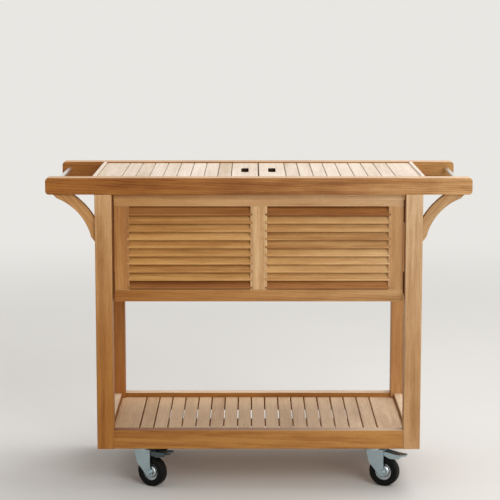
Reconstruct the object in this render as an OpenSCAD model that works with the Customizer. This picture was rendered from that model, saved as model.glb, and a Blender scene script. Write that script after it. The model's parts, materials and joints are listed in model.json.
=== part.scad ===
// Teak beverage cart: a louvred tub box under slatted lids, an open shelf and four swivel casters.
// +X is the right end, -Y is the front, +Z is up. The origin is on the floor under the middle.

/* [Overall size] */
// Length of the front and rear top rails
top_rail_l = 1160; // [1120:5:1300]
// Depth over the front and rear legs
cart_d = 500; // [470:5:600]
// Distance between the outer faces of the left and right legs
leg_span = 894; // [862:4:962]
// Length of a leg
leg_l = 710; // [640:5:800]
// Height of a caster, from the floor to its top plate's upper face
caster_h = 118; // [117:1:130]

/* [Legs and top rails] */
// Width of the square legs
leg_w = 46; // [42:1:52]
// Height of the top rails and end aprons
top_rail_h = 46; // [42:1:60]
// Thickness of the top rails
top_rail_t = 46; // [44:1:52]
// Corner radius at the ends of the top rails
rail_end_r = 10; // [4:1:18]
// Thickness of the end aprons
apron_t = 10; // [8:1:20]
// Radius of the eased long edges of the timber
ease = 2; // [1:0.5:3]

/* [Curved braces] */
// How far a brace reaches along the top rail
brace_reach = 114; // [95:1:120]
// How far a brace reaches down the leg
brace_drop = 131; // [115:1:150]
// Length of the brace's joint with the top rail
brace_rail_bond = 52; // [44:1:58]
// Length of the brace's joint with the leg
brace_leg_bond = 64; // [52:1:70]
// Radius of the brace's lower curve
brace_low_r = 150; // [125:5:200]
// Radius of the brace's upper curve
brace_up_r = 205; // [160:5:260]
// Thickness of a brace, front to back
brace_t = 26; // [18:1:36]
// Width of the blunt heel at each end of a brace
brace_heel = 11; // [6:1:14]

/* [Push bars] */
// Diameter of the push bars
bar_d = 14; // [12:1:20]
// Distance of a push bar's axis from the end of the top rails
bar_inset = 22; // [18:1:32]
// Depth of a push bar's seat in each top rail
bar_seat = 14; // [8:1:24]
// Wall of the push bar's tube
bar_wall = 1.5; // [1:0.25:3]

/* [Lids] */
// Thickness of the lid boards
lid_t = 18; // [14:1:20]
// Height of the top rails above the lids
lid_drop = 4; // [1:0.5:6]
// Width of the narrow boards of the lids and the shelf
board_w = 36; // [30:1:42]
// Gap between the boards of a lid
lid_gap = 1.8; // [1.5:0.1:5]
// Gap between the two lids
lid_seam = 3; // [2:0.5:6]
// Gap between a lid and the top rails
lid_fit = 2.5; // [1.5:0.5:4]
// Least width of the lid's inner board, which has the hand slot
inner_board_min = 60; // [50:1:70]
// Width of the hand slot
slot_w = 21; // [16:1:26]
// Length of the hand slot
slot_l = 115; // [80:5:130]
// Width of the battens under a lid
batten_w = 40; // [30:1:50]
// Height of the battens under a lid
batten_h = 18; // [12:1:24]
// Distance from the tub's wall to a batten
batten_inset = 24; // [10:1:40]

/* [Louvred box] */
// Height of the box below the top rails
box_h = 298; // [260:2:330]
// Recess of the louvre panels behind the faces of the legs
panel_recess = 22; // [14:1:22]
// Thickness of the louvre panels
panel_t = 22; // [20:1:22]
// Gap between the box and the legs
box_gap = 5; // [2:1:8]
// Height of a panel's top rail
panel_top_h = 34.5; // [28:0.5:44]
// Height of a panel's bottom rail
panel_low_h = 33; // [26:0.5:44]
// Width of a panel's outer stiles
stile_w = 41; // [34:1:52]
// Width of a panel's middle stile
mid_stile_w = 46; // [36:1:60]
// Thickness of a louvre blade
blade_t = 8; // [6:0.5:9]
// Height of a louvre blade, foot to top
blade_v = 26.5; // [22:0.5:32]
// Largest pitch of the louvre blades
blade_pitch_max = 22.6; // [20:0.1:25]
// Depth of the slots in the stiles that hold the blades
housing = 6; // [4:0.5:10]
// Thickness of the box's side walls
side_t = 13; // [10:1:18]
// Greatest height of one board of the side walls
side_board_max = 100; // [80:5:150]

/* [Tub] */
// Depth of the tub, from its flange to its underside
tub_depth = 270; // [220:5:285]
// Thickness of the tub's sheet
tub_wall = 1.5; // [1:0.25:2]
// Radius of the folds at the tub's upright corners
tub_corner_r = 6; // [4:1:12]
// Radius of the folds between the tub's floor and its walls
tub_foot_r = 6; // [4:1:12]
// Width of the ledgers that carry the tub's flange
ledger_w = 18; // [16:1:24]
// Bearing of a lid's outer edge on the cross rail
lid_bearing = 10; // [8:1:16]
// Width of the cross rails under the ends of the lids
cross_rail_w = 40; // [36:1:44]
// Distance of the tub's bearers from the middle
bearer_x = 200; // [120:5:300]
// Width of the tub's bearers
bearer_w = 45; // [30:1:60]
// Diameter of the hole for the drain
drain_d = 40; // [34:1:46]
// Bore of the drain
drain_bore = 22; // [16:1:26]
// Length of the drain below the tub
drain_l = 42; // [30:1:44]

/* [Shelf] */
// Height of the shelf's rails
shelf_rail_h = 53; // [48:1:70]
// Thickness of the front and rear shelf rails
shelf_rail_t = 33; // [24:1:34]
// Thickness of the side shelf rails
shelf_side_t = 25; // [20:1:32]
// Setback of the front and rear shelf rails from the legs' faces
shelf_setback = 2; // [0:0.5:6]
// Setback of the side shelf rails from the legs' outer faces
shelf_side_set = 11; // [4:1:16]
// Depth of the shelf's boards below the tops of its rails
shelf_drop = 14; // [6:1:18]
// Thickness of the shelf's boards
shelf_board_t = 15; // [12:1:18]
// Gap between the shelf's boards
shelf_gap = 3.5; // [3:0.5:8]
// Least width of the shelf's end boards
shelf_end_min = 60; // [50:1:70]
// Width and height of the shelf's ledgers
shelf_ledger = 20; // [14:1:20]
// Width of the bearers that the casters are bolted to
caster_bearer_w = 110; // [100:1:130]

/* [Casters] */
// Distance of a caster's swivel axis from the legs' outer faces
caster_end_inset = 122; // [110:1:140]
// Distance of a caster's swivel axis behind the legs' faces
caster_inset = 68; // [67:1:90]
// Diameter of a wheel
wheel_d = 84; // [76:1:88]
// Width of a tyre
tyre_w = 27; // [20:1:28]
// Diameter of a rim
rim_d = 49; // [44:1:52]
// Trail of the wheel behind the swivel axis
trail = 32; // [28:1:36]
// Diameter of an axle
axle_d = 8; // [6:1:10]
// Inner width of a fork
fork_in = 35; // [34:1:40]
// Thickness of a fork's sheet
fork_t = 2.5; // [2:0.5:3]
// Turn of the left front caster from straight to the right
turn_left = 31; // [0:1:90]
// Turn of the right front caster from straight to the right
turn_right = 26; // [0:1:90]
// Turn of both rear casters from straight to the right
turn_rear = 20; // [0:1:90]
// Lift of the left front brake pedal from its braked position
pedal_lift_left = 10; // [0:1:10]
// Lift of the right front brake pedal from its braked position
pedal_lift_right = 0; // [0:1:10]

/* [Hidden] */
$fn = 48;
eps = 0.01; // overshoot of a cut past a face

// Colours
teak = "#b98552";
teak_light = "#d3ae82";
teak_dark = "#a8713f";
steel = "#c9cccd";
zinc = "#9fa8aa";
rubber = "#1c1c1d";

// Fits and clearances
touch = 0.3; // gap between faces of pieces that only rest on each other
pin_fit = 0.05; // radial clearance of a pin in its bore
slot_fit = 0.3; // clearance of a blade in its slot
board_fit = 1; // gap between a fixed board and the timber beside it
tub_fit = 2; // gap between the tub's wall and its ledgers

// Levels
foot_z = caster_h; // underside of the legs
leg_top_z = foot_z + leg_l; // underside of the top rails
rail_top_z = leg_top_z + top_rail_h;
lid_z = rail_top_z - lid_drop - lid_t; // underside of the lids
flange_z = lid_z - touch; // upper face of the tub's flange
ledger_z = flange_z - tub_wall; // upper face of the tub's ledgers
box_z = leg_top_z - box_h; // underside of the box
tub_z = flange_z - tub_depth; // underside of the tub

// Planes across the depth
half_d = cart_d / 2;
leg_in_y = half_d - leg_w;
rail_in_y = half_d - top_rail_t;
panel_y = half_d - panel_recess; // outer face of a louvre panel
panel_in_y = panel_y - panel_t;
ledger_in_y = rail_in_y - ledger_w;
tub_y = ledger_in_y - tub_fit; // outer face of the tub's long walls
lid_y = rail_in_y - lid_fit;

// Planes along the length
leg_out_x = leg_span / 2;
leg_in_x = leg_out_x - leg_w;
table_x = leg_out_x + apron_t;
box_x = leg_in_x - box_gap; // outer face of the box
side_in_x = box_x - side_t;
lid_side_gap = 5.6; // gap between the lid's edge and the plane of the side wall's inner face
lid_out_x = side_in_x - lid_side_gap;
cross_in_x = lid_out_x - lid_bearing;
tub_x = cross_in_x - tub_fit; // outer face of the tub's short walls
bar_x = top_rail_l / 2 - bar_inset;

// Boards of a lid
lid_pitch = board_w + lid_gap;
lid_boards = floor((lid_out_x - lid_seam / 2 - inner_board_min) / lid_pitch);
inner_board_w = lid_out_x - lid_seam / 2 - lid_boards * lid_pitch;

// Louvres
stile_in_x = box_x - stile_w;
opening_z = box_z + panel_low_h;
opening_h = box_h - panel_low_h - panel_top_h;
blade_foot = 1; // height of the lowest blade above the opening's foot
blade_proud = 0.5; // how far the blades stand out of the panel
blade_run = opening_h - blade_foot - blade_v;
blade_count = 1 + ceil(blade_run / blade_pitch_max);
blade_pitch = blade_run / (blade_count - 1);

// Pads between the box and the legs
pad_l = 60;
pad_inset = 20; // distance of a pad from the box's upper or lower edge
pad_setback = 8; // distance of a pad behind the panel's face

// Shelf
shelf_top_z = foot_z + shelf_rail_h - shelf_drop;
shelf_board_z = shelf_top_z - shelf_board_t; // underside of the shelf's boards
shelf_rail_y = half_d - shelf_setback;
shelf_in_y = shelf_rail_y - shelf_rail_t;
shelf_rail_x = leg_out_x - shelf_side_set;
shelf_in_x = shelf_rail_x - shelf_side_t;
shelf_pitch = board_w + shelf_gap;
shelf_boards_side = floor((shelf_in_x - shelf_pitch / 2 - shelf_end_min) / shelf_pitch);
shelf_end_x = (shelf_boards_side + 0.5) * shelf_pitch + shelf_gap / 2; // inner edge of an end board

// Drain
drain_flange_w = 11; // width of the drain's flange round its thread
drain_flange_d = drain_d + 2 * drain_flange_w;
drain_flange_t = 1.5;
drain_nut_h = 8;
drain_nut_d = drain_d + 16;
drain_spout_d = drain_bore + 5;
drain_thread_l = drain_nut_h + 4;
plug_fit = 0.4; // radial clearance of the stopper in the drain
plug_h = 8;
plug_rim_d = drain_bore + 8;
plug_knob_d = 10;
plug_knob_h = 14;

// Caster, from the floor up
caster_x = leg_out_x - caster_end_inset;
caster_y = half_d - caster_inset;
plate_t = 3;
plate_l = 95;
plate_w = 75;
plate_r = 6;
plate_z = caster_h - plate_t; // underside of the plate
bolt_d = 8;
bolt_dx = 36; // distance of the bolts from the swivel axis, along the length
bolt_dy = 26; // distance of the bolts from the swivel axis, front to back
bolt_head_h = 5.5;
bolt_head_d = 15;
bolt_cover = 2; // timber above the end of a bolt
bolt_grip = shelf_board_z - foot_z - bolt_cover; // length of a bolt in the timber
cup_h = 6; // height of the raised cup under the plate
cup_top_r = 26;
cup_low_r = 21;
crown_t = 3;
crown_gap = 3; // space between the cup and the fork's crown
crown_z = plate_z - cup_h - crown_gap - crown_t; // underside of the fork's crown
crown_r = 28;
crown_ring_in = 24.5; // inner radius of the raised ring on the crown
crown_ring_h = 3.5;
race_r = 17;
race_half_w = 2;
kingpin_d = 12;
kingpin_head_d = 20;
kingpin_head_h = 3.6;
axle_z = wheel_d / 2;
fork_end_r = 12; // radius of the fork's side plate round the axle
fork_back = 16; // reach of the side plate in front of the swivel axis, at the crown
fork_shoulder = 3; // height of the side plate's upright edge below the crown
fork_waist = 7; // reach in front of the swivel axis where the side plate starts to narrow to the axle
fork_tail = 4; // reach of the side plate behind the axle
fork_knee = 24; // height above the axle at which that narrowing starts
fork_out = fork_in + 2 * fork_t;
hub_w = 28;
hub_d = 18;
dome_d = 36; // outer diameter of the raised dome round the hub
dome_rise = 6; // height of the dome
rim_flange_w = 21;
rim_web_t = 8;
rim_wall = 2.5;
tyre_corner_r = 5;
nut_h = 5;
nut_d = 14.5;

// Pedal, in the fork's plane: distance from the swivel axis and height
pedal_pivot = [trail - 2, crown_z - 5.5];
pedal_pin_d = 5;
pedal_w = fork_in - 2;
pedal_sheet = 2;
pedal_drop = 2; // depth of the pedal's floor below its pivot
pedal_floor_t = 4;
pedal_floor_l = 44;
pedal_start = 6; // distance of the floor's near end from the pivot
pedal_reach = 68; // distance of the tongue's end from the pivot
pedal_tongue_w = 26;
pedal_shoe_w = 18;
pedal_shoe_l = 12;
pedal_shoe_gap = 0.4; // gap between the shoe and the tyre with the brake on
pedal_lip = 6; // reach of the flanges behind the pivot
pedal_brow = 4; // height of the flanges' upper edge above the pivot
pedal_flange_l = 56; // reach of the flanges in front of the pivot
pedal_belly = 15.5; // greatest depth of the flanges below the pivot

// Rectangle with rounded corners and its low corner at the origin
module round_rect(w, h, r) {
    translate([r, 0]) square([w - 2 * r, h]);
    translate([0, r]) square([w, h - 2 * r]);
    for (x = [r, w - r], y = [r, h - r])
        translate([x, y]) circle(r);
}

// Length of timber that fills the box from lo to hi, with the edges along its axis eased
module stick(lo, hi, axis = 0, r = ease) {
    size = hi - lo;
    translate(lo) {
        if (axis == 0)
            rotate([90, 0, 90]) linear_extrude(size.x) round_rect(size.y, size.z, r);
        else if (axis == 1)
            translate([0, size.y, 0]) rotate([90, 0, 0])
                linear_extrude(size.y) round_rect(size.x, size.z, r);
        else
            linear_extrude(size.z) round_rect(size.x, size.y, r);
    }
}

// Puts a child that is drawn at the right front on the side given by the signs
module at_corner(sx, sy) {
    mirror([sx < 0 ? 1 : 0, 0, 0]) mirror([0, sy > 0 ? 1 : 0, 0]) children();
}

// Legs and top frame

module leg(sx, sy) {
    color(teak) at_corner(sx, sy)
        stick([leg_in_x, -half_d, foot_z], [leg_out_x, -leg_in_y, leg_top_z], 2);
}

module top_rail(sy) {
    color(teak_dark) at_corner(1, sy) difference() {
        intersection() {
            stick([-top_rail_l / 2, -half_d, leg_top_z], [top_rail_l / 2, -rail_in_y, rail_top_z]);
            stick([-top_rail_l / 2, -half_d, leg_top_z], [top_rail_l / 2, -rail_in_y, rail_top_z],
                1, rail_end_r);
        }
        for (sx = [-1, 1])
            translate([sx * bar_x, -rail_in_y + eps, rail_top_z - top_rail_h / 2])
                rotate([90, 0, 0]) cylinder(h = bar_seat + eps, d = bar_d + 2 * pin_fit);
    }
}

module end_apron(sx) {
    color(teak) at_corner(sx, -1)
        stick([leg_out_x, -rail_in_y, leg_top_z], [table_x, rail_in_y, rail_top_z], 1);
}

// Rails across the top frame: they carry the fixed end boards and, in a rebate, the tub's flange
module top_cross_rails() {
    color(teak) for (sx = [-1, 1]) at_corner(sx, -1) difference() {
        stick([cross_in_x, -rail_in_y, leg_top_z], [cross_in_x + cross_rail_w, rail_in_y, lid_z], 1);
        translate([cross_in_x - eps, -rail_in_y - eps, ledger_z])
            cube([lid_out_x + lid_gap - cross_in_x + eps, 2 * rail_in_y + 2 * eps, lid_z - ledger_z + eps]);
    }
}

module top_ledgers() {
    color(teak) {
        for (sy = [-1, 1]) at_corner(1, sy)
            stick([-cross_in_x, -rail_in_y, leg_top_z], [cross_in_x, -ledger_in_y, ledger_z]);
        for (sx = [-1, 1]) at_corner(sx, -1)
            stick([leg_out_x - ledger_w, -rail_in_y, leg_top_z], [leg_out_x, rail_in_y, lid_z], 1);
    }
}

module end_board(sx) {
    color(teak_light) at_corner(sx, -1)
        stick([lid_out_x + lid_gap, -lid_y, lid_z], [leg_out_x - board_fit, lid_y, lid_z + lid_t], 1);
}

// Centre of the circle of radius r through p and q, on the side away from the origin
function arc_centre(p, q, r) =
    let (mid = (p + q) / 2, chord = q - p, across = [chord.y, -chord.x] / norm(chord))
    mid + (across * mid > 0 ? 1 : -1) * across * sqrt(r * r - chord * chord / 4);

// Outline of a brace: x runs out along the rail and y down the leg, from the corner between them
module brace_outline() {
    rail_heel = [brace_reach - brace_heel, brace_heel];
    leg_heel = [brace_heel, brace_drop - 1.3 * brace_heel];
    difference() {
        intersection() {
            polygon([[0, 0], [brace_reach, 0], rail_heel, leg_heel, [0, brace_drop]]);
            translate(arc_centre([brace_reach - brace_rail_bond, 0], [0, brace_drop - brace_leg_bond],
                brace_up_r)) circle(brace_up_r, $fn = 96);
        }
        translate(arc_centre(rail_heel, leg_heel, brace_low_r)) circle(brace_low_r, $fn = 96);
    }
}

module brace(sx, sy) {
    color(teak) at_corner(sx, sy)
        translate([leg_out_x, -half_d + (leg_w + brace_t) / 2, leg_top_z])
            rotate([90, 0, 0]) linear_extrude(brace_t) mirror([0, 1]) brace_outline();
}

module push_bar(sx) {
    reach = rail_in_y + bar_seat - touch;
    color(steel) translate([sx * bar_x, reach, rail_top_z - top_rail_h / 2]) rotate([90, 0, 0])
        difference() {
            cylinder(h = 2 * reach, d = bar_d);
            translate([0, 0, bar_wall]) cylinder(h = 2 * (reach - bar_wall), d = bar_d - 2 * bar_wall);
        }
}

// Lids

// Plan of the hand slot: straight sides and round ends
module hand_slot() {
    straight = slot_l - slot_w;
    translate([-slot_w / 2, -straight / 2]) square([slot_w, straight]);
    for (sy = [-1, 1])
        translate([0, sy * straight / 2]) circle(d = slot_w);
}

module lid_boards(sx) {
    top_z = lid_z + lid_t;
    inner_x = lid_seam / 2 + inner_board_w;
    color(teak_light) at_corner(sx, -1) {
        difference() {
            stick([lid_seam / 2, -lid_y, lid_z], [inner_x, lid_y, top_z], 1);
            translate([(lid_seam + inner_board_w) / 2, 0, lid_z - eps])
                linear_extrude(lid_t + 2 * eps) hand_slot();
        }
        for (i = [0 : lid_boards - 1]) {
            x = inner_x + lid_gap + i * lid_pitch;
            stick([x, -lid_y, lid_z], [x + board_w, lid_y, top_z], 1);
        }
    }
}

module lid_battens(sx) {
    out_y = tub_y - tub_wall - batten_inset;
    end_gap = 6;
    color(teak) at_corner(sx, -1) for (y = [-out_y, out_y - batten_w])
        stick([lid_seam / 2 + end_gap, y, lid_z - batten_h],
            [tub_x - tub_wall - end_gap, y + batten_w, lid_z], 0);
}

// Louvre panels and the box

// Section of a blade: x runs inwards from the panel's outer face and y up from the blade's foot
module blade_section(extra = 0) {
    r = blade_t / 2;
    low = [r - blade_proud, r];
    high = [panel_t - blade_proud - r, blade_v - r];
    lean = high - low;
    translate(low) circle(r + extra);
    translate(high) circle(r + extra);
    translate(low) rotate(atan2(lean.y, lean.x))
        translate([0, -r - extra]) square([norm(lean), 2 * (r + extra)]);
}

// Blades, or the cuts for them, of the front panel between two planes
module blades(x0, x1, extra = 0) {
    for (i = [0 : blade_count - 1])
        translate([x0, -panel_y, opening_z + blade_foot + i * blade_pitch])
            rotate([90, 0, 90]) linear_extrude(x1 - x0) blade_section(extra);
}

// Rails run the whole width and the three stiles stand between them
module panel_frame(sy) {
    stile_top = leg_top_z - panel_top_h;
    color(teak) at_corner(1, sy) {
        stick([-box_x, -panel_y, box_z], [box_x, -panel_in_y, opening_z], 0, 1);
        stick([-box_x, -panel_y, stile_top], [box_x, -panel_in_y, leg_top_z], 0, 1);
        for (sx = [-1, 1]) mirror([sx < 0 ? 1 : 0, 0, 0]) difference() {
            stick([stile_in_x, -panel_y, opening_z], [box_x, -panel_in_y, stile_top], 2, 1);
            blades(stile_in_x - 1, stile_in_x + housing, slot_fit);
        }
        difference() {
            stick([-mid_stile_w / 2, -panel_y, opening_z], [mid_stile_w / 2, -panel_in_y, stile_top], 2, 1);
            for (sx = [-1, 1]) mirror([sx < 0 ? 1 : 0, 0, 0])
                blades(mid_stile_w / 2 - housing, mid_stile_w / 2 + 1, slot_fit);
        }
    }
}

module louvres(sy) {
    color(teak_dark) at_corner(1, sy) for (sx = [-1, 1]) mirror([sx < 0 ? 1 : 0, 0, 0])
        blades(mid_stile_w / 2 - housing + slot_fit, stile_in_x + housing - slot_fit);
}

// Side wall of tongued boards, one above the other
module side_panel(sx) {
    count = ceil(box_h / side_board_max);
    board_h = box_h / count;
    tongue_t = side_t / 3;
    tongue_h = 5;
    groove_fit = 0.2;
    seam = 0.4; // gap between two boards
    color(teak) at_corner(sx, -1) for (i = [0 : count - 1]) {
        low_z = box_z + i * board_h;
        difference() {
            stick([side_in_x, -panel_in_y, low_z], [box_x, panel_in_y, low_z + board_h - seam], 1);
            if (i > 0)
                translate([side_in_x + tongue_t - groove_fit, -panel_in_y - eps, low_z - eps])
                    cube([tongue_t + 2 * groove_fit, 2 * panel_in_y + 2 * eps, tongue_h + eps]);
        }
        if (i < count - 1)
            translate([side_in_x + tongue_t, -panel_in_y, low_z + board_h - seam - eps])
                cube([tongue_t, 2 * panel_in_y, tongue_h + eps]);
    }
}

module box_pads() {
    color(teak_dark) for (sx = [-1, 1], sy = [-1, 1], z = [box_z + pad_inset, leg_top_z - pad_inset - pad_l])
        at_corner(sx, sy)
            translate([box_x, -panel_y + pad_setback, z])
                cube([box_gap, panel_y - pad_setback - leg_in_y, pad_l]);
}

module tub_bearers() {
    lift = 6; // height of the bearers above the box's underside
    color(teak) for (x = [-bearer_x, bearer_x])
        stick([x - bearer_w / 2, -panel_in_y, box_z + lift], [x + bearer_w / 2, panel_in_y, tub_z], 1);
}

// Solid with the tub's rounded foot and corners, inset by the given wall and open upwards
module tub_block(wall, top) {
    w = 2 * (tub_x - wall);
    d = 2 * (tub_y - wall);
    low = tub_z + wall;
    h = top - low;
    r = tub_corner_r - wall;
    foot = tub_foot_r - wall;
    intersection() {
        translate([-w / 2, -d / 2, low]) linear_extrude(h) round_rect(w, d, r);
        union() {
            translate([-w / 2, -d / 2, low + foot]) cube([w, d, h - foot]);
            intersection() {
                translate([-w / 2, -d / 2, low]) rotate([90, 0, 90])
                    linear_extrude(w) round_rect(d, 2 * foot + 1, foot);
                translate([-w / 2, d / 2, low]) rotate([90, 0, 0])
                    linear_extrude(d) round_rect(w, 2 * foot + 1, foot);
            }
        }
    }
}

module tub() {
    rim_x = lid_out_x + lid_gap / 2;
    rim_y = rail_in_y - board_fit;
    color(steel) difference() {
        union() {
            tub_block(0, flange_z);
            translate([-rim_x, -rim_y, ledger_z])
                linear_extrude(tub_wall) round_rect(2 * rim_x, 2 * rim_y, 4);
        }
        tub_block(tub_wall, flange_z + eps);
        translate([0, 0, tub_z - eps]) cylinder(h = tub_wall + 2 * eps, d = drain_d + 1);
    }
}

module drain_body() {
    seat_z = tub_z + tub_wall;
    color(steel) difference() {
        union() {
            translate([0, 0, seat_z]) cylinder(h = drain_flange_t, d = drain_flange_d);
            translate([0, 0, tub_z - drain_thread_l]) cylinder(h = drain_thread_l + tub_wall + eps, d = drain_d);
            translate([0, 0, tub_z - drain_l]) cylinder(h = drain_l, d = drain_spout_d);
        }
        translate([0, 0, tub_z - drain_l - eps])
            cylinder(h = drain_l + tub_wall + drain_flange_t + 2 * eps, d = drain_bore);
    }
}

module drain_nut() {
    color(zinc) translate([0, 0, tub_z - drain_nut_h]) difference() {
        cylinder(h = drain_nut_h, d = drain_nut_d, $fn = 6);
        translate([0, 0, -eps]) cylinder(h = drain_nut_h + 2 * eps, d = drain_d + 2 * pin_fit);
    }
}

module drain_stopper() {
    seat_z = tub_z + tub_wall + drain_flange_t + touch;
    color(rubber) translate([0, 0, seat_z]) rotate_extrude() {
        translate([0, -plug_h]) square([drain_bore / 2 - plug_fit, plug_h + eps]);
        square([plug_rim_d / 2, 2.5]);
        translate([0, 2]) square([plug_knob_d / 4, plug_knob_h]);
        translate([0, plug_knob_h]) intersection() {
            circle(plug_knob_d / 2);
            translate([0, -plug_knob_d]) square(2 * plug_knob_d);
        }
    }
}

// Shelf

module shelf_rail_long(sy) {
    color(teak) at_corner(1, sy)
        stick([-leg_in_x, -shelf_rail_y, foot_z], [leg_in_x, -shelf_in_y, foot_z + shelf_rail_h]);
}

module shelf_rail_short(sx) {
    color(teak) at_corner(sx, -1)
        stick([shelf_in_x, -leg_in_y, foot_z], [shelf_rail_x, leg_in_y, foot_z + shelf_rail_h], 1);
}

module shelf_boards() {
    y = shelf_in_y - touch;
    color(teak_light) {
        for (i = [-shelf_boards_side : shelf_boards_side])
            stick([i * shelf_pitch - board_w / 2, -y, shelf_board_z],
                [i * shelf_pitch + board_w / 2, y, shelf_top_z], 1);
        for (sx = [-1, 1]) at_corner(sx, -1) difference() {
            stick([shelf_end_x, -y, shelf_board_z], [shelf_in_x - board_fit, y, shelf_top_z], 1);
            for (sy = [-1, 1]) at_corner(1, sy)
                translate([leg_in_x - board_fit, -half_d, shelf_board_z - eps])
                    cube([leg_w, leg_w + board_fit, shelf_board_t + 2 * eps]);
        }
    }
}

module shelf_ledgers() {
    low = shelf_board_z - shelf_ledger;
    reach = caster_x - caster_bearer_w / 2;
    color(teak) {
        for (y = [-shelf_in_y, -shelf_ledger / 2, shelf_in_y - shelf_ledger])
            stick([-reach, y, low], [reach, y + shelf_ledger, shelf_board_z]);
        for (sx = [-1, 1]) at_corner(sx, -1)
            stick([shelf_in_x - shelf_ledger, -leg_in_y + board_fit, low],
                [shelf_in_x, leg_in_y - board_fit, shelf_board_z], 1);
    }
}

module caster_bearers() {
    color(teak) for (sx = [-1, 1]) difference() {
        stick([sx * caster_x - caster_bearer_w / 2, -shelf_in_y, foot_z],
            [sx * caster_x + caster_bearer_w / 2, shelf_in_y, shelf_board_z], 1);
        for (sy = [-1, 1]) translate([sx * caster_x, sy * caster_y, foot_z - eps])
            bolt_holes(bolt_grip + bolt_cover / 2);
    }
}

module bolt_holes(h) {
    for (x = [-bolt_dx, bolt_dx], y = [-bolt_dy, bolt_dy])
        translate([x, y, 0]) cylinder(h = h, d = bolt_d + 2 * pin_fit);
}

module caster_bolts() {
    color(zinc) for (sx = [-1, 1], sy = [-1, 1], x = [-bolt_dx, bolt_dx], y = [-bolt_dy, bolt_dy])
        translate([sx * caster_x + x, sy * caster_y + y, plate_z]) {
            translate([0, 0, -bolt_head_h]) cylinder(h = bolt_head_h, d = bolt_head_d, $fn = 6);
            translate([0, 0, -eps]) cylinder(h = plate_t + bolt_grip + eps, d = bolt_d);
        }
}

// Casters: each is drawn with its swivel axis on the Z axis and its wheel trailing along +X

// Places a caster's moving pieces at the corner given by the signs, turned clockwise seen from above
module caster_at(sx, sy, turn) {
    translate([sx * caster_x, sy * caster_y, 0]) rotate(-turn) children();
}

// Turns a section in the plane of the wheel's axis, radius along x, about the axle
module about_axle() {
    translate([trail, 0, axle_z]) rotate([90, 0, 0]) rotate_extrude() children();
}

module caster_plate(sx, sy) {
    color(zinc) translate([sx * caster_x, sy * caster_y, 0]) {
        difference() {
            translate([-plate_l / 2, -plate_w / 2, plate_z])
                linear_extrude(plate_t) round_rect(plate_l, plate_w, plate_r);
            translate([0, 0, plate_z - eps]) bolt_holes(plate_t + 2 * eps);
        }
        rotate_extrude() {
            polygon([
                [0, plate_z + eps], [cup_top_r, plate_z + eps], [cup_top_r, plate_z - 1],
                [cup_low_r, plate_z - cup_h], [0, plate_z - cup_h]
            ]);
            translate([0, crown_z - touch]) square([kingpin_d / 2, plate_z - crown_z]);
            translate([0, crown_z - touch - kingpin_head_h]) square([kingpin_head_d / 2, kingpin_head_h]);
        }
    }
}

// Point where the tangent from p touches the circle of radius r round c; side is 1 or -1
function tangent_point(p, c, r, side) =
    let (d = c - p, reach = sqrt(d * d - r * r), turn = atan2(d.y, d.x) + side * asin(r / norm(d)))
    p + reach * [cos(turn), sin(turn)];

// Side plate of a fork, seen from the side: x runs from the swivel axis and y is the height
module fork_side() {
    centre = [trail, axle_z];
    knee = [-fork_waist, axle_z + fork_knee];
    fork_bite = 0.2; // how far the sloping edge runs into the round end, so that the two cross
    difference() {
        union() {
            translate(centre) circle(fork_end_r);
            polygon([
                [-fork_back, crown_z + crown_t], [-fork_back, crown_z - fork_shoulder], knee,
                tangent_point(knee, centre, fork_end_r - fork_bite, -1),
                centre, centre + [fork_tail, 0], [trail + fork_tail, crown_z + crown_t]
            ]);
        }
        translate(centre) circle(d = axle_d + 2 * pin_fit);
        translate(pedal_pivot) circle(d = pedal_pin_d + 2 * pin_fit);
    }
}

// Hexagonal bolt along the axle with its nut and the two sleeves that centre the hub
module axle() {
    sleeve_l = (fork_in - hub_w) / 2 - touch;
    translate([trail, 0, axle_z]) rotate([90, 0, 0]) {
        translate([0, 0, -fork_out / 2 - nut_h]) cylinder(h = fork_out + 2 * nut_h, d = axle_d);
        for (s = [-1, 1]) {
            translate([0, 0, s * (fork_out + nut_h + touch) / 2])
                cylinder(h = nut_h, d = nut_d, center = true, $fn = 6);
            translate([0, 0, s * (fork_in - sleeve_l - touch) / 2])
                cylinder(h = sleeve_l, d = axle_d + 6, center = true);
        }
    }
}

module caster_fork(sx, sy, turn, braked) {
    color(zinc) caster_at(sx, sy, turn) {
        difference() {
            union() {
                for (s = [-1, 1])
                    translate([0, s * (fork_in + fork_t) / 2 + fork_t / 2, 0])
                        rotate([90, 0, 0]) linear_extrude(fork_t) fork_side();
                translate([-fork_back, -fork_out / 2, crown_z])
                    cube([fork_back + trail + fork_tail, fork_out, crown_t]);
                translate([0, 0, crown_z]) rotate_extrude() {
                    square([crown_r, crown_t]);
                    translate([crown_ring_in, 0]) square([crown_r - crown_ring_in, crown_t + crown_ring_h]);
                    translate([race_r - race_half_w, 0])
                        square([2 * race_half_w, crown_t + crown_gap - touch]);
                }
            }
            translate([0, 0, crown_z - eps])
                cylinder(h = crown_t + 2 * eps, d = kingpin_d + 2 * pin_fit);
        }
        axle();
        if (braked)
            translate([pedal_pivot.x, 0, pedal_pivot.y]) rotate([90, 0, 0])
                cylinder(h = fork_out + 2, d = pedal_pin_d, center = true);
    }
}

// Half of the rim's section, on one side of its middle plane: radius and distance from the plane
function rim_half(r, hub_r, dome_r) = concat(
    [[axle_d / 2 + pin_fit, hub_w / 2], [hub_r, hub_w / 2]],
    [for (a = [0 : 15 : 90]) [
        hub_r + (dome_r - hub_r) * sin(a), hub_w / 2 - 1 - dome_rise * (1 - cos(a))
    ]],
    [
        [dome_r, rim_web_t / 2], [r - rim_wall, rim_web_t / 2],
        [r - rim_wall, rim_flange_w / 2], [r, rim_flange_w / 2]
    ]
);

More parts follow.
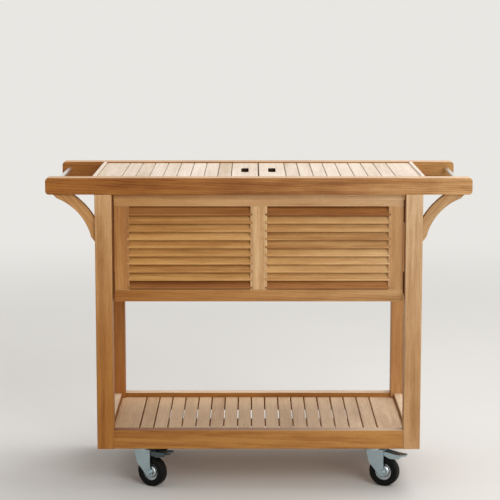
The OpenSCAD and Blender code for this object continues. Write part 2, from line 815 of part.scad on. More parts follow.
// Pressed rim: hub, dome, dished web and the band that the tyre sits on
module caster_rim(sx, sy, turn) {
    half = rim_half(rim_d / 2, hub_d / 2, dome_d / 2);
    last = len(half) - 1;
    color(zinc) caster_at(sx, sy, turn) about_axle()
        polygon(concat(half, [for (i = [0 : last]) [half[last - i].x, -half[last - i].y]]));
}

module caster_tyre(sx, sy, turn) {
    rim_r = rim_d / 2;
    wheel_r = wheel_d / 2;
    color(rubber) caster_at(sx, sy, turn) about_axle() {
        translate([rim_r, -tyre_w / 2]) square([wheel_r - rim_r - tyre_corner_r, tyre_w]);
        translate([rim_r, -tyre_w / 2 + tyre_corner_r]) square([wheel_r - rim_r, tyre_w - 2 * tyre_corner_r]);
        for (s = [-1, 1])
            translate([wheel_r - tyre_corner_r, s * (tyre_w / 2 - tyre_corner_r)]) circle(tyre_corner_r);
    }
}

// Side flange of the pedal: x runs from the pivot along the fork and y is the height above the pivot
module pedal_flange() {
    difference() {
        polygon([
            [-pedal_lip, pedal_brow], [pedal_brow, pedal_brow],
            [0.96 * pedal_flange_l, -pedal_brow], [pedal_flange_l, -2 * pedal_brow],
            [0.88 * pedal_flange_l, -0.94 * pedal_belly], [0.43 * pedal_flange_l, -pedal_belly],
            [0.23 * pedal_flange_l, -0.7 * pedal_belly], [pedal_lip, -2 * pedal_brow],
            [-pedal_lip, -0.8 * pedal_lip]
        ]);
        circle(d = pedal_pin_d + 2 * pin_fit);
    }
}

// Plan of the pedal's floor and its round-cornered tongue, from the pivot along the fork
module pedal_plan() {
    translate([pedal_start, -pedal_w / 2]) square([pedal_floor_l, pedal_w]);
    translate([pedal_start, -pedal_tongue_w / 2])
        round_rect(pedal_reach - pedal_start, pedal_tongue_w, pedal_tongue_w / 4);
}

// Brake pedal: an open channel on the pivot pin, with a shoe over the tyre and a tongue for the foot.
// Heights are above the pivot.
module caster_pedal(sx, sy, turn, lift) {
    floor_z = -pedal_drop - pedal_floor_t;
    shoe_z = wheel_d + pedal_shoe_gap - pedal_pivot.y;
    color(zinc) caster_at(sx, sy, turn) translate([pedal_pivot.x, 0, pedal_pivot.y]) rotate([0, -lift, 0]) {
        for (s = [-1, 1])
            translate([0, s * (pedal_w - pedal_sheet) / 2 + pedal_sheet / 2, 0])
                rotate([90, 0, 0]) linear_extrude(pedal_sheet) pedal_flange();
        translate([0, 0, floor_z]) linear_extrude(pedal_floor_t) pedal_plan();
        translate([pedal_start, -pedal_shoe_w / 2, shoe_z])
            cube([pedal_shoe_l, pedal_shoe_w, floor_z + eps - shoe_z]);
    }
}

leg(-1, -1);  // leg_front_left
leg(1, -1);  // leg_front_right
leg(-1, 1);  // leg_rear_left
leg(1, 1);  // leg_rear_right
top_rail(-1);  // top_rail_front
top_rail(1);  // top_rail_rear
end_apron(-1);  // end_apron_left
end_apron(1);  // end_apron_right
top_cross_rails();
top_ledgers();
brace(-1, -1);  // brace_front_left
brace(1, -1);  // brace_front_right
brace(-1, 1);  // brace_rear_left
brace(1, 1);  // brace_rear_right
push_bar(-1);  // push_bar_left
push_bar(1);  // push_bar_right
end_board(-1);  // end_board_left
end_board(1);  // end_board_right
lid_boards(-1);  // lid_left_boards
lid_battens(-1);  // lid_left_battens
lid_boards(1);  // lid_right_boards
lid_battens(1);  // lid_right_battens
panel_frame(-1);  // front_panel_frame
louvres(-1);  // front_louvres
panel_frame(1);  // rear_panel_frame
louvres(1);  // rear_louvres
side_panel(-1);  // side_panel_left
side_panel(1);  // side_panel_right
box_pads();
tub_bearers();
tub();
drain_body();
drain_nut();
drain_stopper();
shelf_rail_long(-1);  // shelf_rail_front
shelf_rail_long(1);  // shelf_rail_rear
shelf_rail_short(-1);  // shelf_rail_left
shelf_rail_short(1);  // shelf_rail_right
shelf_boards();
shelf_ledgers();
caster_bearers();
caster_bolts();
caster_plate(-1, -1);  // caster_front_left_plate
caster_fork(-1, -1, turn_left, true);  // caster_front_left_fork
caster_rim(-1, -1, turn_left);  // caster_front_left_rim
caster_tyre(-1, -1, turn_left);  // caster_front_left_tyre
caster_pedal(-1, -1, turn_left, pedal_lift_left);  // caster_front_left_pedal
caster_plate(1, -1);  // caster_front_right_plate
caster_fork(1, -1, turn_right, true);  // caster_front_right_fork
caster_rim(1, -1, turn_right);  // caster_front_right_rim
caster_tyre(1, -1, turn_right);  // caster_front_right_tyre
caster_pedal(1, -1, turn_right, pedal_lift_right);  // caster_front_right_pedal
caster_plate(-1, 1);  // caster_rear_left_plate
caster_fork(-1, 1, turn_rear, false);  // caster_rear_left_fork
caster_rim(-1, 1, turn_rear);  // caster_rear_left_rim
caster_tyre(-1, 1, turn_rear);  // caster_rear_left_tyre
caster_plate(1, 1);  // caster_rear_right_plate
caster_fork(1, 1, turn_rear, false);  // caster_rear_right_fork
caster_rim(1, 1, turn_rear);  // caster_rear_right_rim
caster_tyre(1, 1, turn_rear);  // caster_rear_right_tyre
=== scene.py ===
"""Finishes, floor, light and camera of the beverage tub bar cart. Lengths are in metres."""

import json
import math

import bpy
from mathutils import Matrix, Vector


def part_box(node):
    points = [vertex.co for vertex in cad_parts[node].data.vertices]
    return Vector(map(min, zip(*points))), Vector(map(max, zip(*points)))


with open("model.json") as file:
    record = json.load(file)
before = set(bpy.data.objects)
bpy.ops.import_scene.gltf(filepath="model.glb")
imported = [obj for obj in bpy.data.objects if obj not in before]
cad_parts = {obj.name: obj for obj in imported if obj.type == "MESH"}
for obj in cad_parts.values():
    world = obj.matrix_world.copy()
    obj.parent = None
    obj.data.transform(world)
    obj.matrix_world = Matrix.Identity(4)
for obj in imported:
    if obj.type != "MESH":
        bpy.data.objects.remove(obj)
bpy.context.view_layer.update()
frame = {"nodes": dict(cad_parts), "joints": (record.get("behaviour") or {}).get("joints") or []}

# Middle tones of the timber, sRGB from 0 to 255: at the left end and at the right end
# Most right-end tones are lighter than the left ones: partly the wood's own tone and partly painted
# light falling from the right.
RAIL = (145, 87, 31), (194, 147, 95)
REAR_RAIL = (150, 92, 38), (178, 130, 74)
PANEL = (172, 122, 69), (206, 170, 130)
OUTER_STILE = (178, 126, 70), (186, 142, 98)
MID_STILE = (217, 181, 135), (217, 181, 135)
LOW_RAIL = (161, 104, 44), (195, 155, 107)
BLADE = (188, 136, 74), (206, 166, 117)
# Painted shade on the top blade and the lowest blade of each side.
BLADE_SHADE = (150, 96, 47), (166, 111, 61)
SHELF_RAIL = (152, 98, 41), (170, 117, 60)
# Pale tone of the lids and other top boards: partly weathered wood and partly painted light from
# above.
BOARD_TOP = (220, 203, 184), (222, 205, 186)
# Shelf boards: partly the wood's pale tone and partly painted light, lighter towards the right end.
SHELF_BOARD = (214, 176, 134), (242, 214, 182)
INNER = (150, 98, 54), (150, 98, 54)
# Paler tones of the top rails' upward faces: partly sun bleaching and partly painted light from
# above.
RAIL_TOP = (200, 162, 126), (212, 180, 148)
# Tones of the front shelf rail's top: painted shadow at the left end and painted light at the right
# end.
SHELF_TOP = (140, 84, 38), (244, 216, 184)
# Pale tone of the rear and side shelf rails' tops: painted light from above.
SHELF_SIDE_TOP = (232, 203, 170), (232, 203, 170)
# Painted shade on the walls of the hand slots.
SLOT_SHADE = (58, 37, 22), (58, 37, 22)

# The same for upright pieces: at the foot and at the top
# The right legs' tones are lighter than the left legs': painted light falling from the right.
LEG_LEFT = (164, 108, 46), (200, 157, 110)
LEG_RIGHT = (189, 146, 100), (212, 178, 138)
REAR_LEG_LEFT = (162, 100, 45), (162, 100, 45)
REAR_LEG_RIGHT = (184, 132, 80), (184, 132, 80)
BRACE_LEFT = (190, 141, 87), (190, 141, 87)
BRACE_RIGHT = (178, 137, 92), (178, 137, 92)

# Metals and rubber
STEEL = (206, 208, 208)
SUNLIT_STEEL = (232, 233, 233)
ZINC = (170, 187, 193)
BRIGHT_ZINC = (196, 202, 205)
SHADED_ZINC = (84, 92, 94)
TYRE = (6, 7, 6)
DUST = (22, 22, 20)
BLACK = (30, 30, 31)

# Shares of the middle tone in red, green and blue: in the darkest and in the lightest places
SHARES = (0.66, 0.54, 0.42), (1.28, 1.45, 1.68)
PALE_SHARES = (0.78, 0.71, 0.62), (1.14, 1.18, 1.24)
METAL_SHARES = (0.86, 0.87, 0.9), (1.1, 1.09, 1.06)
PORE_SHARE = (0.45, 0.36, 0.28)
METAL_EDGE_SHARE = (1.25, 1.25, 1.25)

# Where the two tones of a piece lie: axis, place of the first and place of the second
ACROSS = 0, -0.58, 0.58
RIGHT_HALF = 0, -0.45, 0.62
UPWARD = 2, 0.2, 0.86
TONE_POWER = 2.0

# Growth rings: their width, where the pith lies beside the board's middle, and their bends
RING_LEAST = 0.0034
RING_SPREAD = 0.0042
PITH_LEAST = 0.03
PITH_SPREAD = 0.08
PITH_SLOPE = 0.12
LATE_POWER = 3.0
WARP = 0.012
WARP_ALONG = 6.0
WARP_ACROSS = 14.0
WARP_DETAIL = 3.0

# How far apart two boards' noises lie at most
SHIFT_ALONG = 31.0
SHIFT_ACROSS = 47.0

# Noises drawn out along the fibres: waves per metre along them, across them, and detail
BANDS = 1.7, 52.0, 4.0
FINE = 11.0, 420.0, 2.0
CLOUD = 3.1, 13.0, 2.0
FLECK = 14.0, 90.0, 3.0
PORES = 70.0, 1500.0, 1.0
STREAK_ROUGHNESS = 0.6

# Middle of a noise, of a random number and of the tint, and how far each part moves the tint
MEAN = 0.5
TINT_LIFT = 0.06
TINT_RINGS = -0.5
TINT_BANDS = 1.3
TINT_FINE = 0.3
TINT_FLECK = 0.7

# Surface of the timber
PORE_LEVEL = 0.64
PORE_DEPTH = 0.3
# Upward faces take paler tones: partly sun bleaching and partly painted light from above.
BLEACH_AND_LIGHT_LEVEL = 0.5
BLEACH_AND_LIGHT_GAIN = 3.0
# Rounded edges are paled: partly worn and partly a painted highlight.
EDGE_R = 0.0022
EDGE_SAMPLES = 4
EDGE_GAIN = 5.0
TEAK_ROUGH = 0.5
TEAK_ROUGH_BANDS = 0.25
TEAK_ROUGH_PORES = 0.3
TEAK_GLOSS = 0.22
TEAK_RELIEF = 0.0003
TEAK_RELIEF_STRENGTH = 0.5
RELIEF_RINGS = -0.5
RELIEF_PORES = -1.5
RELIEF_FINE = 0.8

# Surface of the metals
BRUSH = 900.0
METAL_EDGE_R = 0.0006
# Paler metal edges: partly worn and partly a painted highlight.
METAL_EDGE_WEAR_AND_HIGHLIGHT = 0.5
METAL_RELIEF = 0.00005
METAL_RELIEF_STRENGTH = 0.35

# Surface of the rubber
RUBBER_GRAIN = 900.0
RUBBER_CLOUD = 60.0
SIDE_DUST = 0.25
TREAD_DUST = 0.8
RUBBER_EDGE_R = 0.0008
RUBBER_RELIEF = 0.0001
RUBBER_RELIEF_STRENGTH = 0.3
RUBBER_ROUGH = 0.6
RUBBER_UNEVEN = 0.3
RUBBER_GLOSS = 0.14

# Sizes of the CAD that the patterns follow
BLADES = 10
BLADE_V = 0.0265
PANEL_LOW_H = 0.033
PANEL_TOP_H = 0.0345
MID_STILE_W = 0.046
BOARD_W = 0.036
LID_GAP = 0.0018
LID_BOARDS = 8
SLOT_W = 0.021
SLOT_L = 0.115
SHELF_GAP = 0.0035
SHELF_BOARDS_SIDE = 8
SIDE_BOARDS = 3
BRACE_WAY = 0.66, 0.75

# How far a mask reaches past the faces that it covers
SKIN = 0.001

# Added to a board's number on the right and taken off on the left, so that the halves differ
LID_SIDE = 40.0
BLADE_SIDE = 20.0

# Number of a panel's low rail, past those of its stiles
RAIL_NUMBER = 5.0

# Floor and light
FLOOR_TONES = (222, 220, 216), (228, 226, 222)
FLOOR_CLOUD = 1.3
FLOOR_DETAIL = 4.0
FLOOR_ROUGH = 0.85
FLOOR_GLOSS = 0.2
FLOOR_SIZE = 80
FADE_START = 1.2
FADE_END = 5.0
BACKDROP = (233, 231, 227)
DAYLIGHT = (1.0, 0.99, 0.975, 1.0)
DAYLIGHT_STRENGTH = 0.55
LAMP_TARGET = (0.0, 0.0, 0.5)

# Camera, fitted to edges in the photo
LENS = 127.2
SENSOR_W = 36.0
CLIP_END = 200.0
CAMERA_PLACE = (-0.0239, -5.0167, 1.3817)
CAMERA_TILT = math.radians(81.584)


def linear(colour):
    """sRGB from 0 to 255 as linear colour with alpha."""
    parts = [c / 255 for c in colour]
    found = [((c + 0.055) / 1.055) ** 2.4 if c > 0.04045 else c / 12.92 for c in parts]
    return tuple(found) + (1.0,)


def shaded(colour, share):
    """Linear colour with each part multiplied by its share."""
    return tuple(min(1.0, c * s) for c, s in zip(linear(colour), share)) + (1.0,)


class Nodes:
    """Short calls that build the node tree of one new material."""

    def __init__(self, name):
        self.material = bpy.data.materials.new(name)
        self.material.use_nodes = True
        self.tree = self.material.node_tree
        self.tree.nodes.clear()

    def put(self, socket, value):
        """Links an output to the socket, or sets the socket's value."""
        if isinstance(value, bpy.types.NodeSocket):
            self.tree.links.new(value, socket)
        else:
            socket.default_value = value

    def add(self, kind, inputs=None, **settings):
        node = self.tree.nodes.new("ShaderNode" + kind)
        for name, value in settings.items():
            setattr(node, name, value)
        for name, value in (inputs or {}).items():
            self.put(node.inputs[name], value)
        return node

    def math(self, operation, *values, clamp=False):
        node = self.add("Math", operation=operation, use_clamp=clamp)
        for socket, value in zip(node.inputs, values):
            self.put(socket, value)
        return node.outputs[0]

    def vector(self, operation, *values, output="Vector"):
        node = self.add("VectorMath", operation=operation)
        for socket, value in zip(node.inputs, values):
            self.put(socket, value)
        return node.outputs[output]

    def total(self, *values):
        """Sum of several values."""
        found = values[0]
        for value in values[1:]:
            found = self.math("ADD", found, value)
        return found

    def times(self, first, second):
        return self.math("MULTIPLY", first, second)

    def off(self, value, middle, scale):
        """How far a value lies from its middle, times scale."""
        return self.times(self.math("SUBTRACT", value, middle), scale)

    def swing(self, value, scale):
        """How far a noise or a random number lies from its mean, times scale."""
        return self.off(value, MEAN, scale)

    def split(self, vector):
        return list(self.add("SeparateXYZ", {"Vector": vector}).outputs)

    def join(self, x, y, z):
        return self.add("CombineXYZ", {"X": x, "Y": y, "Z": z}).outputs[0]

    def place(self):
        """The point in the model's own coordinates."""
        return self.add("TexCoord").outputs["Object"]

    def facing(self):
        """The face's direction in the model's own coordinates."""
        return self.add("TexCoord").outputs["Normal"]

    def noise(self, vector, scale=1.0, detail=2.0, roughness=0.5):
        inputs = {"Vector": vector, "Scale": scale, "Detail": detail, "Roughness": roughness}
        return self.add("TexNoise", inputs).outputs["Fac"]

    def blend(self, factor, first, second):
        """First colour where factor is 0 and the second where it is 1."""
        node = self.add("Mix", data_type="RGBA")
        self.put(node.inputs[0], factor)
        self.put(node.inputs[6], first)
        self.put(node.inputs[7], second)
        return node.outputs[2]

    def choose(self, factor, first, second):
        """First value where factor is 0 and the second where it is 1."""
        node = self.add("Mix", data_type="FLOAT")
        self.put(node.inputs[0], factor)
        self.put(node.inputs[2], first)
        self.put(node.inputs[3], second)
        return node.outputs[0]

    def ramp(self, factor, stops):
        node = self.add("ValToRGB", {"Fac": factor})
        ramp = node.color_ramp
        ramp.elements[0].position, ramp.elements[0].color = stops[0]
        ramp.elements[1].position, ramp.elements[1].color = stops[-1]
        for position, colour in stops[1:-1]:
            ramp.elements.new(position).color = colour
        return node.outputs["Color"]

    def bevel(self, radius):
        """Normal with rounded edges."""
        return self.add("Bevel", {"Radius": radius}, samples=EDGE_SAMPLES).outputs["Normal"]

    def worn_and_lit_edges(self, bevel):
        """Mask that is 1 along the rounded edges."""
        flat = self.add("NewGeometry").outputs["Normal"]
        dot = self.vector("DOT_PRODUCT", bevel, flat, output="Value")
        return self.math("MULTIPLY", self.math("SUBTRACT", 1.0, dot), EDGE_GAIN, clamp=True)

    def bump(self, height, distance, strength, normal):
        inputs = {"Height": height, "Distance": distance, "Strength": strength, "Normal": normal}
        return self.add("Bump", inputs).outputs[0]

    def finish(self, **inputs):
        """Puts the values on the shader's sockets and gives the material."""
        values = {name.replace("_", " "): value for name, value in inputs.items()}
        shader = self.add("BsdfPrincipled", values)
        output = self.add("OutputMaterial")
        self.put(output.inputs["Surface"], shader.outputs[0])
        return self.material


# Grain directions: each gives the coordinate along the fibres and the two across them


def fibres(axis):
    order = {"x": (0, 2, 1), "y": (1, 0, 2), "z": (2, 0, 1)}[axis]
    return lambda n, p: [p[i] for i in order]


def panel_grain(low, high):
    """Upright fibres in the stiles, between the heights low and high, and level ones above and
    below, in the rails.
    """

    def grain(n, p):
        upright = between(n, p[2], low, high)
        return [n.choose(upright, p[0], p[2]), n.choose(upright, p[2], p[0]), p[1]]

    return grain


def slanted(side):
    """Fibres of a brace, from its foot on the leg up to the rail. side is -1 on the left."""
    out_part, up_part = BRACE_WAY

    def grain(n, p):
        out = n.times(p[0], float(side))
        along = n.total(n.times(out, out_part), n.times(p[2], up_part))
        across = n.total(n.times(out, up_part), n.times(p[2], -out_part))
        return [along, across, p[1]]

    return grain


def between(n, value, low, high):
    above = n.math("GREATER_THAN", value, low)
    return n.times(above, n.math("LESS_THAN", value, high))


# Boards: each gives the board's number and the place of its middle across the grain


def lid_rows(outer):
    """Boards of a lid, counted from the lid's outer end towards the cart's middle."""
    pitch = BOARD_W + LID_GAP

    def board(n, p):
        distance = n.math("SUBTRACT", outer, n.math("ABSOLUTE", p[0]))
        step = n.math("FLOOR", n.math("DIVIDE", distance, pitch))
        number = n.math("MINIMUM", step, LID_BOARDS)
        side = n.math("SIGN", p[0])
        middle = n.math("SUBTRACT", outer - BOARD_W / 2, n.times(number, pitch))
        return n.total(number, n.times(side, LID_SIDE)), n.times(middle, side)

    return board


def shelf_rows():
    """Boards of the shelf, counted from its middle. The wide end boards come last."""
    pitch = BOARD_W + SHELF_GAP
    last = SHELF_BOARDS_SIDE + 1.0

    def board(n, p):
        step = n.math("FLOOR", n.math("ADD", n.math("DIVIDE", p[0], pitch), 0.5))
        number = n.math("MINIMUM", n.math("MAXIMUM", step, -last), last)
        return number, n.times(number, pitch)

    return board


def blade_level(n, p, low, high):
    """Height of a blade's foot above the lowest one's. It is the same all over a blade."""
    face = max(abs(low.y), abs(high.y))
    lean = BLADE_V / abs(high.y - low.y)
    back = n.math("SUBTRACT", face, n.math("ABSOLUTE", p[1]))
    return n.math("SUBTRACT", n.off(p[2], low.z, 1.0), n.times(back, lean))


def blade_rows(node):
    """Blades on both sides of a panel, counted from the lowest."""
    low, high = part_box(node)
    pitch = (high.z - low.z - BLADE_V) / (BLADES - 1)

    def board(n, p):
        level = n.math("DIVIDE", blade_level(n, p, low, high), pitch)
        number = n.math("FLOOR", n.math("ADD", level, 0.5))
        middle = n.math("ADD", n.times(number, pitch), low.z + BLADE_V / 2)
        return n.total(number, n.times(n.math("SIGN", p[0]), BLADE_SIDE)), middle

    return board


def level_rows(node, count):
    """Boards that lie one above the other in a wall."""
    low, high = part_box(node)
    pitch = (high.z - low.z) / count

    def board(n, p):
        number = n.math("FLOOR", n.math("DIVIDE", n.off(p[2], low.z, 1.0), pitch))
        return number, n.math("ADD", n.times(number, pitch), low.z + pitch / 2)

    return board


def panel_boards(low, high):
    """Stiles and rails of a panel's frame. The stiles stand between the heights low and high."""

    def board(n, p):
        upright = between(n, p[2], low, high)
        outer = n.math("GREATER_THAN", n.math("ABSOLUTE", p[0]), MID_STILE_W)
        stile = n.times(outer, n.math("SIGN", p[0]))
        rail = n.math("ADD", n.math("GREATER_THAN", p[2], high), RAIL_NUMBER)
        return n.choose(upright, rail, stile), 0.0

    return board


def pairs(axis):
    """One piece on each side of the middle."""

    def board(n, p):
        return n.math("SIGN", p["xyz".index(axis)]), 0.0

    return board


# Masks of patches with a tone of their own


def slots(node):
    """The walls of the hand slot in a lid's inner board, which are painted dark as shade."""
    low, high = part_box(node)
    inner, outer = sorted((abs(low.x), abs(high.x)))
    width = outer - inner - LID_BOARDS * (BOARD_W + LID_GAP)
    middle = inner + width / 2

    def mask(n, p):
        across = n.math("ABSOLUTE", n.math("SUBTRACT", n.math("ABSOLUTE", p[0]), middle))
        near = n.math("LESS_THAN", across, SLOT_W / 2 + SKIN)
        inside = n.math("LESS_THAN", n.math("ABSOLUTE", p[1]), SLOT_L / 2 + SKIN)
        below = n.math("LESS_THAN", p[2], high.z - SKIN)
        return n.times(n.times(near, inside), below)

    return mask


def panel_patches(low, high):
    """The panel's outer stiles, middle stile and lower rail."""

    def stiles(operation):
        def mask(n, p):
            side = n.math(operation, n.math("ABSOLUTE", p[0]), MID_STILE_W)
            return n.times(side, between(n, p[2], low, high))

        return mask

    def low_rail(n, p):
        return n.math("LESS_THAN", p[2], low)

    return [(stiles("GREATER_THAN"), OUTER_STILE), (stiles("LESS_THAN"), MID_STILE),
            (low_rail, LOW_RAIL)]


def blade_shade_mask(node):
    """The top blade and the lowest one on each side, which get painted shade, darker than the rest.
    """
    low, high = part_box(node)
    half = BLADE_V / 2
    last = high.z - low.z - BLADE_V

    def mask(n, p):
        level = blade_level(n, p, low, high)
        top = n.math("GREATER_THAN", level, last - half)
        return n.math("MAXIMUM", top, n.math("LESS_THAN", level, half))

    return mask


def apron_lip(node):
    """The inner edge of an end apron above the fixed board. It takes the pale top tone as painted
    light over the shade of that step.
    """
    low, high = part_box(node)
    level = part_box(node.replace("apron", "board"))[1].z
    middle = abs(low.x + high.x) / 2

    def mask(n, p):
        inner = n.math("LESS_THAN", n.math("ABSOLUTE", p[0]), middle)
        return n.times(inner, n.math("GREATER_THAN", p[2], level - SKIN))

    return mask


def growth(n, chance, number, centre, fibre, rise_middle, lean):
    """Late wood of growth rings round a pith of the board's own, and the shift of its noises.

    fibre holds the coordinate along the fibres and the two across them, centre and rise_middle the
    board's middle in those two.
    """
    along, across, deep = fibre
    turn = n.times(chance[0], 2 * math.pi)
    reach = n.math("MULTIPLY_ADD", chance[1], PITH_SPREAD, PITH_LEAST)
    slope = n.times(n.swing(chance[2], PITH_SLOPE), along)
    side = n.math("SUBTRACT", across, centre)
    rise = n.math("SUBTRACT", deep, rise_middle)
    stretch = n.join(n.times(along, WARP_ALONG), n.times(side, WARP_ACROSS),
                     n.times(rise, WARP_ACROSS))
    shift = n.join(n.times(chance[0], SHIFT_ALONG), n.times(chance[2], SHIFT_ACROSS), number)
    warp = n.noise(n.vector("ADD", stretch, shift), detail=WARP_DETAIL)
    side = n.total(side, n.times(n.math("COSINE", turn), reach), slope, n.swing(warp, WARP))
    rise = n.total(rise, n.times(n.math("SINE", turn), reach), n.times(along, lean))
    radius = n.math("SQRT", n.total(n.times(side, side), n.times(rise, rise)))
    spacing = n.math("MULTIPLY_ADD", chance[2], RING_SPREAD, RING_LEAST)
    ring = n.math("FRACT", n.math("DIVIDE", radius, spacing))
    return n.math("POWER", ring, LATE_POWER), shift


def teak(name, tones, grain, seed, board=None, middle=(0.0, 0.0), spread=0.55, pale=False,
         ends=ACROSS, top=None, patches=(), bold=1.0, lean=0.0, wear=0.35):
    """Teak with growth rings, streaks, pores and paled edges, partly worn and partly a painted
    highlight, and a figure of its own per board.

    middle is the board's middle across the grain where no row gives it, spread how much the boards
    differ and ends the places of the two tones. top holds the paler tones of the upward faces,
    partly sun bleaching and partly painted light from above, and patches more tones, each with its
    mask.
    bold is the strength of the figure, lean makes arches in it by running the pith askew to the
    board, and wear sets how pale the edges are, which are partly worn and partly a painted
    highlight.
    """
    n = Nodes(name)
    point = n.split(n.place())
    fibre = fibres(grain)(n, point) if isinstance(grain, str) else grain(n, point)
    number, centre = board(n, point) if board else (0.0, middle[0])
    draw = n.math("ADD", number, seed) if board else float(seed)
    white = n.add("TexWhiteNoise", {"W": draw}, noise_dimensions="1D")
    chance = n.split(white.outputs["Color"])
    late, shift = growth(n, chance, number, centre, fibre, middle[1], lean)

    def streaks(along, across, detail):
        stretched = n.vector("MULTIPLY_ADD", n.join(*fibre), (along, across, across), shift)
        return n.noise(stretched, detail=detail, roughness=STREAK_ROUGHNESS)

    kinds = BANDS, FINE, CLOUD, FLECK, PORES
    bands, fine, cloud, fleck, pores = [streaks(*kind) for kind in kinds]
    rings = n.times(late, n.times(cloud, TINT_RINGS * bold))
    tint = n.total(MEAN + TINT_LIFT * bold, rings, n.swing(bands, TINT_BANDS * bold),
                   n.swing(fine, TINT_FINE), n.swing(cloud, bold),
                   n.swing(fleck, TINT_FLECK * bold), n.swing(chance[1], spread))
    axis, start, stop = ends
    way = n.off(point[axis], start, 1.0 / (stop - start))
    way = n.math("POWER", n.math("MULTIPLY", way, 1.0, clamp=True), TONE_POWER)

    def dyed(pair, shares):
        found = []
        for tone in pair:
            stops = [(0.0, shaded(tone, shares[0])), (MEAN, linear(tone)),
                     (1.0, shaded(tone, shares[1]))]
            found.append(n.ramp(tint, stops))
        return n.blend(way, *found)

    shares = PALE_SHARES if pale else SHARES
    colour = dyed(tones, shares)
    for mask, pair in patches:
        colour = n.blend(mask(n, point), colour, dyed(pair, shares))
    # Upward faces blend to the top tones: partly sun bleaching and partly painted light from above.
    if top:
        upward = n.off(n.split(n.facing())[2], BLEACH_AND_LIGHT_LEVEL, BLEACH_AND_LIGHT_GAIN)
        up = n.math("MULTIPLY", upward, 1.0, clamp=True)
        colour = n.blend(up, colour, dyed(top, PALE_SHARES))
    pore = n.times(n.math("GREATER_THAN", pores, PORE_LEVEL), PORE_DEPTH)
    colour = n.blend(pore, colour, shaded(tones[0], PORE_SHARE))
    bevel = n.bevel(EDGE_R)
    # Rounded edges are paled: partly worn and partly a painted highlight where they catch the
    # light.
    colour = n.blend(n.times(n.worn_and_lit_edges(bevel), wear), colour, shaded(tones[1], shares[1]))

    height = n.total(n.times(late, RELIEF_RINGS), n.times(pore, RELIEF_PORES),
                     n.swing(fine, RELIEF_FINE))
    bump = n.bump(height, TEAK_RELIEF, TEAK_RELIEF_STRENGTH, bevel)
    rough = n.total(TEAK_ROUGH, n.swing(bands, TEAK_ROUGH_BANDS), n.times(pore, TEAK_ROUGH_PORES))
    return n.finish(Base_Color=colour, Roughness=rough, Specular_IOR_Level=TEAK_GLOSS, Normal=bump)


def metal(name, colour, rough, brush=(BRUSH, BRUSH, BRUSH), uneven=0.12, mottle=50.0):
    """Metal with a cloudy sheen.

    brush gives the waves per metre of the brushing along x, y and z, mottle those of the clouds.
    """
    n = Nodes(name)
    place = n.place()
    cloud = n.noise(place, scale=mottle, detail=3.0)
    brushed = n.noise(n.vector("MULTIPLY", place, brush), detail=2.0)
    bevel = n.bevel(METAL_EDGE_R)
    tint = n.blend(cloud, *[shaded(colour, share) for share in METAL_SHARES])
    # Edges are paled: partly worn and partly a painted highlight.
    edge = n.times(n.worn_and_lit_edges(bevel), METAL_EDGE_WEAR_AND_HIGHLIGHT)
    tint = n.blend(edge, tint, shaded(colour, METAL_EDGE_SHARE))
    roughness = n.total(rough, n.swing(cloud, uneven), n.swing(brushed, uneven))
    bump = n.bump(brushed, METAL_RELIEF, METAL_RELIEF_STRENGTH, bevel)
    return n.finish(Base_Color=tint, Metallic=1.0, Roughness=roughness, Normal=bump)


def rubber(name, colour, axle=None):
    """Moulded rubber. With an axle direction, the tread is greyer with dust than the side walls."""
    n = Nodes(name)
    place = n.place()
    grain = n.noise(place, scale=RUBBER_GRAIN, detail=2.0)
    cloud = n.noise(place, scale=RUBBER_CLOUD, detail=3.0)
    dust = n.times(cloud, SIDE_DUST)
    if axle:
        dot = n.vector("DOT_PRODUCT", n.facing(), axle, output="Value")
        outward = n.math("SUBTRACT", 1.0, n.math("ABSOLUTE", dot))
        tread = n.times(outward, n.times(cloud, TREAD_DUST))
        dust = n.math("ADD", dust, tread, clamp=True)
    tint = n.blend(dust, linear(colour), linear(DUST))
    bump = n.bump(grain, RUBBER_RELIEF, RUBBER_RELIEF_STRENGTH, n.bevel(RUBBER_EDGE_R))
    rough = n.total(RUBBER_ROUGH, n.swing(cloud, RUBBER_UNEVEN))
    return n.finish(Base_Color=tint, Roughness=rough, Specular_IOR_Level=RUBBER_GLOSS, Normal=bump)


def dress(material, *nodes):
    """Gives the material to every slot of the CAD nodes."""
    for name in nodes:
        for slot in frame["nodes"][name].material_slots:
            slot.material = material


def dress_teak(node, tones, grain, **settings):
    """Gives one CAD node teak of its own, named as the node."""
    dress(teak(node, tones, grain, **settings), node)


def middle_of(node, *axes):
    """Middle of a node's box along the named axes."""
    low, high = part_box(node)
    centre = (low + high) / 2
    return tuple(getattr(centre, axis) for axis in axes)


def dress_legs():
    tones = {"front_left": LEG_LEFT, "front_right": LEG_RIGHT,
             "rear_left": REAR_LEG_LEFT, "rear_right": REAR_LEG_RIGHT}
    for count, (place, tone) in enumerate(tones.items()):
        leg = "leg_" + place
        dress_teak(leg, tone, "z", seed=11 + count, middle=middle_of(leg, "x", "y"), ends=UPWARD)
        brace = "brace_" + place
        side = 1 if place.endswith("right") else -1
        x, y, z = middle_of(brace, "x", "y", "z")
        across = side * x * BRACE_WAY[1] - z * BRACE_WAY[0]
        dress_teak(brace, BRACE_LEFT if side < 0 else BRACE_RIGHT, slanted(side), seed=21 + count,
                   middle=(across, y), ends=UPWARD)


